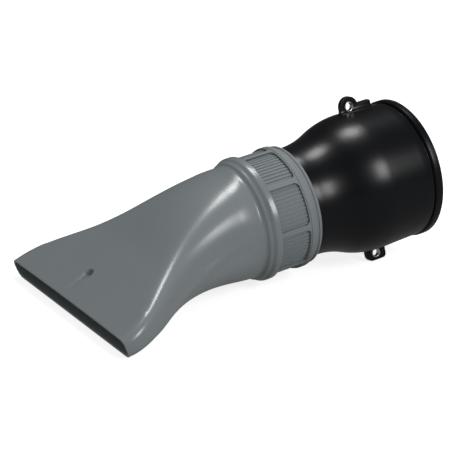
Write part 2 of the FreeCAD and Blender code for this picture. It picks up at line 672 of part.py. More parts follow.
def make_adapter():
    """Bell adapter: spigot, neck, double curve, bell with its rim, and two ears."""
    body = new_body("blower_adapter")
    revolve(body, "bell", [
        ("spigot_front", "spigot_bore"), ("spigot_front", "spigot_radius"),
        ("neck_front", "spigot_radius"), ("neck_front", "neck_radius"),
        ("neck_back", "neck_radius"), ("cone_middle", "cone_middle_radius"),
        ("cone_back", "bell_radius"), ("bell_back", "bell_back_radius"),
        ("bell_back", "seam_radius"), ("seam_back", "seam_radius"),
        ("seam_back", "rim_edge_radius"), ("rim_front_bevel", "rim_radius"),
        ("rim_back_bevel", "rim_radius"), ("rim_back", "rim_edge_radius"),
        ("rim_back", "lead_radius"), ("lead_front", "socket_radius"),
        ("cone_back", "socket_radius"), ("bore_back", "bore_back_radius"),
        ("bore_front", "bore_front_radius"), ("neck_back", "neck_bore"),
        ("neck_front", "spigot_bore"),
    ], {4: ("cone_bend", False), 5: ("cone_bend", True)})
    add_ear(body, "upper_ear", [
        ("ear_front", "ear_root"), ("ear_front", "ear_reach"), ("ear_centre", "ear_top"),
        ("ear_web_start", "ear_web_top"), ("ear_web_round", "ear_web_top"),
        ("ear_web_end", "ear_web_side"), ("ear_web_end", "ear_root"),
    ], {1: ("ear_lobe", True), 2: ("ear_lobe", True), 4: ("web_corner", True)})
    add_ear(body, "lower_ear", [
        ("foot_front", "foot_root"), ("foot_front", "foot_front_side"),
        ("foot_front_round", "foot_low"), ("foot_back_round", "foot_low"),
        ("foot_back", "foot_side"), ("foot_back", "foot_root"),
    ], {1: ("ear_round", False), 3: ("ear_corner", False)})
    add_ear_curve(body, "upper_ear_curve", "ear_front", "upper_curve_length",
                  ("ear_root", "curve_base", "curve_crest"), True)
    add_ear_curve(body, "lower_ear_curve", "foot_front", "lower_curve_length",
                  ("foot_root", "curve_base_low", "curve_crest_low"), False)
    bore_ears(body)
    return body


def make_bush(label, height):
    """Metal bush that lines the hole of one ear."""
    body = new_body(label)
    sketch = new_sketch(body, label + "_outline", "XZ_Plane")
    centre = Vector(size("ear_centre"), size(height), 0)
    for index, radius in enumerate(("bush_radius", "bush_bore")):
        sketch.addGeometry(Part.Circle(centre, Vector(0, 0, 1), size(radius)), False)
        pin_point(sketch, index, 3, "ear_centre", height)
        tie(sketch, Sketcher.Constraint("Radius", index, size(radius)), radius)
    pad(body, label + "_ring", sketch, "bush_length")
    return body


def rest_tilt():
    """Angle of the axis when the mouth's lower lip and the lower ear stand on one plane.

    The ear touches with the rounded front corner of its turned plate, so the angle is found in a
    few steps, each of which starts from the one before.
    """
    slant, turn = math.radians(size("mouth_slant")), math.radians(size("ear_turn"))
    lip_x = size("mouth_half_height") * math.sin(slant)
    lip_z = -size("mouth_drop") - size("mouth_half_height") * math.cos(slant)
    ear_z = size("foot_front_side") * math.cos(turn) - size("ear_thickness") / 2 * math.sin(turn)
    tilt = 0.0
    for _ in range(12):
        drop = size("ear_round") * math.hypot(math.tan(tilt), math.cos(turn))
        tilt = math.atan2(lip_z - ear_z + drop, size("foot_front_round") - lip_x)
    return math.degrees(tilt)


def lay_down(pieces):
    """Turn the pieces about the axis, tilt them to rest and centre them on the plane they lie on."""
    tilt = FreeCAD.Placement(Vector(), FreeCAD.Rotation(-Y_AXIS, rest_tilt()))
    for piece, turn in pieces:
        piece.Placement = tilt.multiply(FreeCAD.Placement(Vector(), FreeCAD.Rotation(X_AXIS, turn)))
    doc.recompute()
    boxes = [piece.Shape.optimalBoundingBox(False) for piece, _ in pieces]
    low_x, high_x = min(box.XMin for box in boxes), max(box.XMax for box in boxes)
    low_y, high_y = min(box.YMin for box in boxes), max(box.YMax for box in boxes)
    shift = Vector(-(low_x + high_x) / 2, -(low_y + high_y) / 2, -min(box.ZMin for box in boxes))
    for piece, _ in pieces:
        piece.Placement = FreeCAD.Placement(shift, FreeCAD.Rotation()).multiply(piece.Placement)
    doc.recompute()
    print("rest tilt", round(rest_tilt(), 3), "shift", [round(value, 3) for value in shift])


def check_and_write(pieces):
    """Stop on any failed object, then write each piece to its own file."""
    for item in doc.Objects:
        if {"Invalid", "Error"} & set(item.State):
            raise RuntimeError(f"{item.Name} failed: {item.State}")
    for piece, _ in pieces:
        shape = piece.Shape
        if shape.isNull() or not shape.isValid() or len(shape.Solids) != 1:
            raise RuntimeError(f"{piece.Label} is not one sound solid")
    for piece, _ in pieces:
        piece.Shape.exportStep(f"parts/{piece.Label}.step")
        print(piece.Label, round(piece.Shape.Volume, 1))


sheet = make_sheet()
half_pitch = 180 / size("pocket_count")
adapter_turn = -size("ear_turn")
PIECES = [
    (make_nozzle(), 0.0),
    (make_collar(), half_pitch),
    (make_adapter(), adapter_turn),
    (make_bush("ear_bush_upper", "ear_reach"), adapter_turn),
    (make_bush("ear_bush_lower", "lower_hole"), adapter_turn),
]
lay_down(PIECES)
check_and_write(PIECES)
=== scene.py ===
import json
import logging
import math
from dataclasses import dataclass
from enum import Enum

import bmesh
import bpy
from mathutils import Matrix, Vector
from mathutils.bvhtree import BVHTree

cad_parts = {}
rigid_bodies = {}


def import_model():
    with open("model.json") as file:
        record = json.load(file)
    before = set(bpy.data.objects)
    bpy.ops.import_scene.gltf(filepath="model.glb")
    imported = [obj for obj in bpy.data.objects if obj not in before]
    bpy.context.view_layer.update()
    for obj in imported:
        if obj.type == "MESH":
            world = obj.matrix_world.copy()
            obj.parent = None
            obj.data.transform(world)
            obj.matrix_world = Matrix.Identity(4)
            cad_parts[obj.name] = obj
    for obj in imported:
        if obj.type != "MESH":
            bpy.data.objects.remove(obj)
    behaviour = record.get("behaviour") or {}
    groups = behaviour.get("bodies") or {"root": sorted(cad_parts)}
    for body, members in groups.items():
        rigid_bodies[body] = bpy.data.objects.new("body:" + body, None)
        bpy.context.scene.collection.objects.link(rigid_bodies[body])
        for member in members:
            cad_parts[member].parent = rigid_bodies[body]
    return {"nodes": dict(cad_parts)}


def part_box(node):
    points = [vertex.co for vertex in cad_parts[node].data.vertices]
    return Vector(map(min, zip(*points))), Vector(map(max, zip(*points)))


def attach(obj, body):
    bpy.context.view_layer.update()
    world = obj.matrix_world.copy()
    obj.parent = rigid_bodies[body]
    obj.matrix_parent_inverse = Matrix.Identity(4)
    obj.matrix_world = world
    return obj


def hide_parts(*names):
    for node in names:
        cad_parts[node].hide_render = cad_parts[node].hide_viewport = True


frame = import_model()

# Looks of a flat fan nozzle for a leaf blower: the grey fan with its step and flange, the grey grip
# collar, the black bell adapter with two ears, and the metal bushes in the ears. Each piece stands
# for its own CAD node and lies where that node lies. Lengths are in metres unless a name says mm.

LOG = logging.getLogger("fan_nozzle")
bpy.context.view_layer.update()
BODY = "root"
MM = 0.001
MERGE_GAP = 0.002 * MM
SMOOTH_LIMIT = math.radians(38.0)
NOISE_MIDDLE = 0.5
START_THINGS = {"Cube", "Light", "Camera"}


class Slot(Enum):
    """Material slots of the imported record."""

    GREY = "grey_plastic"
    COLLAR = "grey_collar_plastic"
    BLACK = "black_plastic"
    ZINC = "zinc_steel"


class Turn(Enum):
    """How far a piece is turned about the nozzle's own axis, in degrees."""

    NONE = 0.0
    ADAPTER = -10.0


@dataclass(frozen=True)
class RestingAxis:
    """Where the part's own axis lies once it rests on the floor.

    Along that axis x runs from the mouth to the bell, and z is up out of the flat sides.
    """

    tilt: float = math.radians(8.167)
    offset: tuple[float, float, float] = (-0.129876, 0.0, 0.023728)

    def matrix(self, turn: Turn = Turn.NONE) -> Matrix:
        """Takes points drawn along the part's own axis to where they rest.

        Args:
            turn: extra turn of the piece about that axis.

        Returns:
            The placement as a 4 x 4 matrix.
        """
        lay = Matrix.Translation(self.offset) @ Matrix.Rotation(-self.tilt, 4, "Y")
        return lay @ Matrix.Rotation(math.radians(turn.value), 4, "X")


AXIS = RestingAxis()


# Shader helpers

class NodeSheet:
    """Places nodes in a node tree and joins them."""

    def __init__(self, tree: bpy.types.NodeTree) -> None:
        """Keeps the tree that the nodes go into."""
        self.tree = tree

    def add(self, kind: str, inputs: dict[str, object] | None = None, **settings: object) -> bpy.types.Node:
        """Adds one node.

        Args:
            kind: the node's type name.
            inputs: plain values for its input sockets, by socket name.
            settings: the node's own options.

        Returns:
            The new node.
        """
        node = self.tree.nodes.new(kind)
        for name, value in settings.items():
            setattr(node, name, value)
        for name, value in (inputs or {}).items():
            node.inputs[name].default_value = value
        return node

    def join(self, source: bpy.types.NodeSocket, target: bpy.types.NodeSocket) -> None:
        """Links one output to one input."""
        self.tree.links.new(source, target)

    def feed(self, value: object, target: bpy.types.NodeSocket) -> None:
        """Gives an input a socket's value or a plain number.

        Args:
            value: socket or number.
            target: the input.
        """
        if isinstance(value, bpy.types.NodeSocket):
            self.join(value, target)
        else:
            target.default_value = value

    def math(self, operation: str, first: object, second: object) -> bpy.types.NodeSocket:
        """Adds a math node whose operands are sockets or plain numbers.

        Args:
            operation: name of the operation.
            first: socket or number.
            second: socket or number.

        Returns:
            The node's output socket.
        """
        node = self.add("ShaderNodeMath", operation=operation)
        for socket, value in zip(node.inputs, (first, second)):
            self.feed(value, socket)
        return node.outputs[0]

    def scaled(self, color: bpy.types.NodeSocket, factor: bpy.types.NodeSocket) -> bpy.types.NodeSocket:
        """Multiplies a colour by a factor.

        Args:
            color: socket of the colour.
            factor: socket of the factor.

        Returns:
            The multiplied colour's socket.
        """
        node = self.add("ShaderNodeVectorMath", operation="SCALE")
        self.join(color, node.inputs[0])
        self.join(factor, node.inputs["Scale"])
        return node.outputs["Vector"]

    def noise(self, vector: bpy.types.NodeSocket, scale: object, detail: float,
              roughness: float = 0.5, distortion: float = 0.0) -> bpy.types.NodeSocket:
        """Adds a noise texture.

        Args:
            vector: coordinates that it reads.
            scale: socket or number.
            detail: how many finer layers it has.
            roughness: how strong the finer layers are.
            distortion: how far the pattern is bent.

        Returns:
            The noise's value socket.
        """
        node = self.add("ShaderNodeTexNoise",
                        {"Detail": detail, "Roughness": roughness, "Distortion": distortion})
        self.join(vector, node.inputs["Vector"])
        self.feed(scale, node.inputs["Scale"])
        return node.outputs["Fac"]

    def stretched(self, vector: bpy.types.NodeSocket, scale: tuple[float, float, float],
                  rotation: tuple[float, float, float] = (0.0, 0.0, 0.0)) -> bpy.types.NodeSocket:
        """Scales and turns coordinates, which draws a pattern out along one way.

        Args:
            vector: the coordinates.
            scale: scale along each axis.
            rotation: turn about each axis, in radians.

        Returns:
            The new coordinates' socket.
        """
        node = self.add("ShaderNodeMapping", {"Scale": scale, "Rotation": rotation})
        self.join(vector, node.inputs["Vector"])
        return node.outputs["Vector"]

    def ramp(self, value: bpy.types.NodeSocket, low: float, high: float) -> bpy.types.NodeSocket:
        """Maps a range of a value onto 0 to 1, with soft ends.

        Args:
            value: socket to map.
            low: value that becomes 0.
            high: value that becomes 1.

        Returns:
            The mapped value's socket.
        """
        node = self.add("ShaderNodeMapRange", {"From Min": low, "From Max": high},
                        interpolation_type="SMOOTHSTEP")
        self.join(value, node.inputs["Value"])
        return node.outputs["Result"]

    def relief(self, height: bpy.types.NodeSocket, depth: float) -> bpy.types.NodeSocket:
        """Turns a height over the surface into a normal.

        Args:
            height: socket of the height.
            depth: how deep a height of 1 is, in metres.

        Returns:
            The normal's socket.
        """
        node = self.add("ShaderNodeBump", {"Strength": 1.0, "Distance": depth})
        self.join(height, node.inputs["Height"])
        return node.outputs["Normal"]


class EffectGroup:
    """Base of the shared effects, each built once as a shader node group."""

    name = ""
    inputs: tuple[tuple[str, str, object], ...] = ()
    outputs: tuple[tuple[str, str], ...] = ()

    @classmethod
    def tree(cls) -> bpy.types.NodeTree:
        """Makes the group's node tree at first use.

        Returns:
            The node tree.
        """
        found = bpy.data.node_groups.get(cls.name)
        if found:
            return found
        tree = bpy.data.node_groups.new(cls.name, "ShaderNodeTree")
        for name, kind, value in cls.inputs:
            socket = tree.interface.new_socket(name, in_out="INPUT", socket_type=kind)
            if value is not None:
                socket.default_value = value
        for name, kind in cls.outputs:
            tree.interface.new_socket(name, in_out="OUTPUT", socket_type=kind)
        sheet = NodeSheet(tree)
        cls.fill(sheet, sheet.add("NodeGroupInput"), sheet.add("NodeGroupOutput"))
        return tree

    @classmethod
    def fill(cls, sheet: NodeSheet, source: bpy.types.Node, sink: bpy.types.Node) -> None:
        """Fills the tree between its input and output nodes."""
        raise NotImplementedError

    @classmethod
    def place(cls, sheet: NodeSheet, vector: bpy.types.NodeSocket, **values: object) -> bpy.types.Node:
        """Places the group in a material.

        Args:
            sheet: the material's node sheet.
            vector: coordinates that the effect reads.
            values: plain values for the group's other inputs, with _ for a space.

        Returns:
            The group's node.
        """
        node = sheet.add("ShaderNodeGroup", node_tree=cls.tree())
        sheet.join(vector, node.inputs["Vector"])
        for name, value in values.items():
            node.inputs[name.replace("_", " ")].default_value = value
        return node


class MouldedGrain(EffectGroup):
    """Fine skin of a spark-eroded mould: pebbles over a softer swell."""

    name = "moulded_grain"
    inputs = (("Vector", "NodeSocketVector", None), ("Grain Scale", "NodeSocketFloat", 1400.0),
              ("Swell Scale", "NodeSocketFloat", 45.0), ("Swell Share", "NodeSocketFloat", 0.3))
    outputs = (("Height", "NodeSocketFloat"), ("Mottle", "NodeSocketFloat"))
    cell_softness = 0.6
    cell_share = 0.6
    fine_share = 0.4

    @classmethod
    def fill(cls, sheet: NodeSheet, source: bpy.types.Node, sink: bpy.types.Node) -> None:
        """Mixes cells and noise into a height, and keeps a broad noise as the mottle.

        Args:
            sheet: the group's node sheet.
            source: its input node.
            sink: its output node.
        """
        vector, scale = source.outputs["Vector"], source.outputs["Grain Scale"]
        cells = sheet.add("ShaderNodeTexVoronoi", feature="SMOOTH_F1")
        sheet.feed(cls.cell_softness, cells.inputs["Smoothness"])
        sheet.join(vector, cells.inputs["Vector"])
        sheet.join(scale, cells.inputs["Scale"])
        fine = sheet.noise(vector, scale, 3.0, 0.6)
        swell = sheet.noise(vector, source.outputs["Swell Scale"], 2.0, 0.45)
        pebbles = sheet.math("ADD", sheet.math("MULTIPLY", cells.outputs["Distance"], cls.cell_share),
                             sheet.math("MULTIPLY", fine, cls.fine_share))
        share = sheet.math("MULTIPLY", swell, source.outputs["Swell Share"])
        sheet.join(sheet.math("ADD", pebbles, share), sink.inputs["Height"])
        sheet.join(swell, sink.inputs["Mottle"])


class ToneDrift(EffectGroup):
    """Slow change of tone over a moulding, with faint flow lines from the gate."""

    name = "tone_drift"
    inputs = (("Vector", "NodeSocketVector", None), ("Color", "NodeSocketColor", (0.5, 0.5, 0.5, 1.0)),
              ("Amount", "NodeSocketFloat", 0.06), ("Scale", "NodeSocketFloat", 14.0))
    outputs = (("Color", "NodeSocketColor"),)
    flow_stretch = (1.0, 7.0, 7.0)
    broad_share = 0.65
    flow_share = 0.35

    @classmethod
    def fill(cls, sheet: NodeSheet, source: bpy.types.Node, sink: bpy.types.Node) -> None:
        """Brightens and darkens the given colour by a broad noise and a stretched one.

        Args:
            sheet: the group's node sheet.
            source: its input node.
            sink: its output node.
        """
        vector, scale = source.outputs["Vector"], source.outputs["Scale"]
        broad = sheet.noise(vector, scale, 2.0)
        flow = sheet.noise(sheet.stretched(vector, cls.flow_stretch), scale, 3.0, 0.55, 0.4)
        both = sheet.math("ADD", sheet.math("MULTIPLY", broad, cls.broad_share),
                          sheet.math("MULTIPLY", flow, cls.flow_share))
        centred = sheet.math("SUBTRACT", both, NOISE_MIDDLE)
        swing = sheet.math("MULTIPLY", centred, source.outputs["Amount"])
        level = sheet.math("ADD", sheet.math("MULTIPLY", swing, 2.0), 1.0)
        sheet.join(sheet.scaled(source.outputs["Color"], level), sink.inputs["Color"])


class FineScuffs(EffectGroup):
    """Sparse hairline scuffs from handling, in two crossing directions."""

    name = "fine_scuffs"
    inputs = (("Vector", "NodeSocketVector", None), ("Scale", "NodeSocketFloat", 60.0),
              ("Threshold", "NodeSocketFloat", 0.66))
    outputs = (("Mask", "NodeSocketFloat"),)
    turns = (0.5, -0.9)
    lean = 0.3
    stretch = (1.0, 18.0, 18.0)
    gain = 9.0
    patch_scale = 22.0
    patch_range = (0.45, 0.65)

    @classmethod
    def fill(cls, sheet: NodeSheet, source: bpy.types.Node, sink: bpy.types.Node) -> None:
        """Cuts thin streaks out of two stretched noises and keeps them in patches.

        Args:
            sheet: the group's node sheet.
            source: its input node.
            sink: its output node.
        """
        vector = source.outputs["Vector"]
        streaks = []
        for turn in cls.turns:
            drawn = sheet.stretched(vector, cls.stretch, (0.0, cls.lean, turn))
            noise = sheet.noise(drawn, source.outputs["Scale"], 2.0, 0.7)
            above = sheet.math("SUBTRACT", noise, source.outputs["Threshold"])
            streaks.append(sheet.math("MULTIPLY", sheet.math("MAXIMUM", above, 0.0), cls.gain))
        where = sheet.ramp(sheet.noise(vector, cls.patch_scale, 1.0), *cls.patch_range)
        both = sheet.math("MAXIMUM", streaks[0], streaks[1])
        sheet.join(sheet.math("MINIMUM", sheet.math("MULTIPLY", both, where), 1.0), sink.inputs["Mask"])


class EdgeLight(EffectGroup):
    """Where a moulding's convex edges are polished a little lighter."""

    name = "edge_light"
    inputs = (("Vector", "NodeSocketVector", None), ("Sharpness", "NodeSocketFloat", 0.53))
    outputs = (("Mask", "NodeSocketFloat"),)
    gain = 9.0
    breakup_scale = 380.0
    breakup_range = (0.3, 0.6)

    @classmethod
    def fill(cls, sheet: NodeSheet, source: bpy.types.Node, sink: bpy.types.Node) -> None:
        """Reads the surface's pointiness and breaks it up with a fine noise.

        Args:
            sheet: the group's node sheet.
            source: its input node.
            sink: its output node.
        """
        pointiness = sheet.add("ShaderNodeNewGeometry").outputs["Pointiness"]
        over = sheet.math("SUBTRACT", pointiness, source.outputs["Sharpness"])
        gained = sheet.math("MULTIPLY", over, cls.gain)
        edge = sheet.math("MINIMUM", sheet.math("MAXIMUM", gained, 0.0), 1.0)
        breakup = sheet.ramp(sheet.noise(source.outputs["Vector"], cls.breakup_scale, 2.0),
                             *cls.breakup_range)
        sheet.join(sheet.math("MULTIPLY", edge, breakup), sink.inputs["Mask"])


# Finishes

@dataclass(frozen=True)
class Finish:
    """Base of the finishes: a colour that becomes a node material."""

    name: str
    color: tuple[float, float, float]

    def material(self) -> bpy.types.Material:
        """Builds the finish as a node material.

        Returns:
            The material, made at first use.
        """
        found = bpy.data.materials.get(self.name)
        if found:
            return found
        material = bpy.data.materials.new(self.name)
        material.use_nodes = True
        material.node_tree.nodes.clear()
        sheet = NodeSheet(material.node_tree)
        place = sheet.add("ShaderNodeTexCoord").outputs["Object"]
        output = sheet.add("ShaderNodeOutputMaterial")
        sheet.join(self.shade(sheet, place).outputs["BSDF"], output.inputs["Surface"])
        return material

    def shade(self, sheet: NodeSheet, place: bpy.types.NodeSocket) -> bpy.types.Node:
        """Places the finish's own nodes and returns its shader."""
        raise NotImplementedError


@dataclass(frozen=True)
class PlasticFinish(Finish):
    """A moulded plastic: its gloss, the depth of its skin and its wear."""

    roughness: float
    roughness_swing: float
    specular: float
    grain_scale: float
    grain_depth: float
    tone_amount: float
    scuff_rise: float
    edge_gain: float
    tone_scale: float = 16.0
    swell_scale: float = 55.0
    swell_share: float = 0.5
    scuff_scale: float = 46.0
    scuff_threshold: float = 0.63
    edge_sharpness: float = 0.54
    refraction: float = 1.49

    def shade(self, sheet: NodeSheet, place: bpy.types.NodeSocket) -> bpy.types.Node:
        """Places the plastic's nodes.

        Args:
            sheet: the material's node sheet.
            place: object coordinates.

        Returns:
            The shader's node.
        """
        tone = ToneDrift.place(sheet, place, Color=(*self.color, 1.0), Amount=self.tone_amount,
                               Scale=self.tone_scale)
        grain = MouldedGrain.place(sheet, place, Grain_Scale=self.grain_scale,
                                   Swell_Scale=self.swell_scale, Swell_Share=self.swell_share)
        scuffs = FineScuffs.place(sheet, place, Scale=self.scuff_scale, Threshold=self.scuff_threshold)
        edges = EdgeLight.place(sheet, place, Sharpness=self.edge_sharpness)
        gain = sheet.math("ADD", sheet.math("MULTIPLY", edges.outputs["Mask"], self.edge_gain), 1.0)
        worn = sheet.math("MULTIPLY", scuffs.outputs["Mask"], self.scuff_rise)
        centred = sheet.math("SUBTRACT", grain.outputs["Mottle"], NOISE_MIDDLE)
        mottle = sheet.math("MULTIPLY", centred, 2.0 * self.roughness_swing)
        rough = sheet.math("ADD", sheet.math("ADD", mottle, worn), self.roughness)
        shader = sheet.add("ShaderNodeBsdfPrincipled",
                           {"IOR": self.refraction, "Specular IOR Level": self.specular})
        sheet.join(sheet.scaled(tone.outputs["Color"], gain), shader.inputs["Base Color"])
        sheet.join(rough, shader.inputs["Roughness"])
        sheet.join(sheet.relief(grain.outputs["Height"], self.grain_depth), shader.inputs["Normal"])
        return shader


@dataclass(frozen=True)
class MetalFinish(Finish):
    """Turned, zinc-plated steel with fine tool marks."""

    roughness: float
    mark_scale: float
    mark_depth: float
    tone_amount: float = 0.25
    tone_scale: float = 140.0
    swell_scale: float = 300.0
    swell_share: float = 0.6
    roughness_swing: float = 0.15

    def shade(self, sheet: NodeSheet, place: bpy.types.NodeSocket) -> bpy.types.Node:
        """Places the metal's nodes.

        Args:
            sheet: the material's node sheet.
            place: object coordinates.

        Returns:
            The shader's node.
        """
        tone = ToneDrift.place(sheet, place, Color=(*self.color, 1.0), Amount=self.tone_amount,
                               Scale=self.tone_scale)
        grain = MouldedGrain.place(sheet, place, Grain_Scale=self.mark_scale,
                                   Swell_Scale=self.swell_scale, Swell_Share=self.swell_share)
        centred = sheet.math("SUBTRACT", grain.outputs["Mottle"], NOISE_MIDDLE)
        mottle = sheet.math("MULTIPLY", centred, 2.0 * self.roughness_swing)
        shader = sheet.add("ShaderNodeBsdfPrincipled", {"Metallic": 1.0})
        sheet.join(tone.outputs["Color"], shader.inputs["Base Color"])
        sheet.join(sheet.math("ADD", mottle, self.roughness), shader.inputs["Roughness"])
        sheet.join(sheet.relief(grain.outputs["Height"], self.mark_depth), shader.inputs["Normal"])
        return shader


GREY_PLASTIC = PlasticFinish(
    "grey_nozzle_plastic", (0.168, 0.188, 0.195), roughness=0.27, roughness_swing=0.03, specular=0.5,
    grain_scale=1500.0, grain_depth=0.000006, tone_amount=0.05, scuff_rise=0.015, edge_gain=0.10)
COLLAR_PLASTIC = PlasticFinish(
    "grey_collar_plastic", (0.172, 0.192, 0.199), roughness=0.15, roughness_swing=0.03, specular=0.60,
    grain_scale=1500.0, grain_depth=0.000008, tone_amount=0.05, scuff_rise=0.05, edge_gain=0.14)
BLACK_PLASTIC = PlasticFinish(
    "black_adapter_plastic", (0.0040, 0.0045, 0.0056), roughness=0.30, roughness_swing=0.04, specular=0.28,
    grain_scale=1100.0, grain_depth=0.000012, tone_amount=0.12, scuff_rise=0.05, edge_gain=0.30)
ZINC_STEEL = MetalFinish(
    "zinc_bush_steel", (0.72, 0.74, 0.77), roughness=0.30, mark_scale=2600.0, mark_depth=0.000006)


# Pieces

def bevelled(skin: bmesh.types.BMesh, edges: list[bmesh.types.BMEdge], radius_mm: float, segments: int,
             slide: bool = False) -> None:
    """Rounds edges of a skin.

    Args:
        skin: the mesh to change.
        edges: the edges to round.
        radius_mm: how far the rounding reaches from the edge.
        segments: number of its strips.
        slide: whether it keeps along the edges that it meets.
    """
    bmesh.ops.bevel(skin, geom=edges, offset=radius_mm * MM, offset_type="OFFSET", segments=segments,
                    profile=0.5, affect="EDGES", material=-1, clamp_overlap=True, loop_slide=slide)


def smoothed(skin: bmesh.types.BMesh, points: list[bmesh.types.BMVert], rounds: int) -> None:
    """Draws points towards the middle of their neighbours.

    Args:
        skin: the mesh to change.
        points: the points to move.
        rounds: how often.
    """
    for _ in range(rounds):
        bmesh.ops.smooth_vert(skin, verts=points, factor=0.5,
                              use_axis_x=True, use_axis_y=True, use_axis_z=True)


def finished_object(skin: bmesh.types.BMesh, name: str, material: bpy.types.Material) -> bpy.types.Object:
    """Turns a bmesh into an object at the origin, shaded smooth up to the sharp edges.

    Args:
        skin: the mesh, which is freed.
        name: the object's name.
        material: its finish.

    Returns:
        The new object.
    """
    mesh = bpy.data.meshes.new(name)
    skin.to_mesh(mesh)
    skin.free()
    for face in mesh.polygons:
        face.use_smooth = True
    mesh.set_sharp_from_angle(angle=SMOOTH_LIMIT)
    mesh.materials.append(material)
    piece = bpy.data.objects.new(name, mesh)
    bpy.context.scene.collection.objects.link(piece)
    return piece


def handed_over(piece: bpy.types.Object, node: str) -> bpy.types.Object:
    """Lets a finished object stand for its CAD node, on the part's one body.

    Args:
        piece: the finished object.
        node: name of the CAD node that it replaces.

    Returns:
        The same object.
    """
    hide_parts(node)
    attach(piece, BODY)
    LOG.info("%s: %d faces", piece.name, len(piece.data.polygons))
    return piece


@dataclass(frozen=True)
class EdgeRound:
    """How the sharp edges of a moulding are broken."""

    radius_mm: float
    segments: int
    least_turn: float = 28.0


@dataclass
class Moulding:
    """A piece that is drawn from its CAD node, with its edges rounded and its finish put on."""

    node: str
    slot: Slot
    finish: Finish
    edge: EdgeRound | None = None
    turn: Turn = Turn.NONE
    join_turn: float = 12.0

    def merged_copy(self) -> bmesh.types.BMesh:
        """Copies the node's loose triangles into one closed skin of quads and triangles.

        Returns:
            The skin, in the resting place.
        """
        skin = bmesh.new()
        skin.from_mesh(frame["nodes"][self.node].data)
        bmesh.ops.remove_doubles(skin, verts=skin.verts[:], dist=MERGE_GAP)
        bmesh.ops.join_triangles(skin, faces=skin.faces[:], cmp_seam=False, cmp_sharp=False,
                                 angle_face_threshold=math.radians(self.join_turn),
                                 angle_shape_threshold=math.pi)
        return skin

    def finished_skin(self) -> bmesh.types.BMesh:
        """Makes the merged copy and rounds its sharp edges.

        Returns:
            The closed skin, in the resting place.
        """
        skin = self.merged_copy()
        if self.edge:
            least = math.radians(self.edge.least_turn)
            sharp = [edge for edge in skin.edges if edge.is_manifold and edge.calc_face_angle(0.0) > least]
            bevelled(skin, sharp, self.edge.radius_mm, self.edge.segments, slide=True)
        return skin

    def build(self) -> bpy.types.Object:
        """Builds the piece, dresses it and hands it to the frame.

        Returns:
            The finished object.
        """
        piece = finished_object(self.finished_skin(), self.node + "_moulding", self.finish.material())
        return handed_over(piece, self.node)


@dataclass
class GripCollar(Moulding):
    """The grip collar, whose ribs stand low in their pockets."""

    floor_mm: float = 38.65
    floor_reach_mm: float = 0.06
    rib_top_mm: float = 39.45
    raise_share: float = 0.35
    pockets_mm: tuple[float, float] = (134.0, 156.6)

    def merged_copy(self) -> bmesh.types.BMesh:
        """Makes the merged copy and raises the pockets' floor between the ribs.

        Returns:
            The skin, in the resting place.
        """
        skin = super().merged_copy()
        place = AXIS.matrix(self.turn)
        back = place.inverted()
        start, end = self.pockets_mm
        for point in skin.verts:
            spot = back @ point.co
            radius = math.hypot(spot.y, spot.z)
            on_floor = abs(radius - self.floor_mm * MM) < self.floor_reach_mm * MM
            if on_floor and start * MM < spot.x < end * MM:
                wanted = radius + (self.rib_top_mm - self.floor_mm) * self.raise_share * MM
                point.co = place @ Vector((spot.x, spot.y * wanted / radius, spot.z * wanted / radius))
        return skin


@dataclass(frozen=True)
class TurnedRing:
    """One ring of the tube's outside, where it is turned round the part's axis."""

    place_mm: float
    radius_mm: float
    bend_mm: float = 0.0


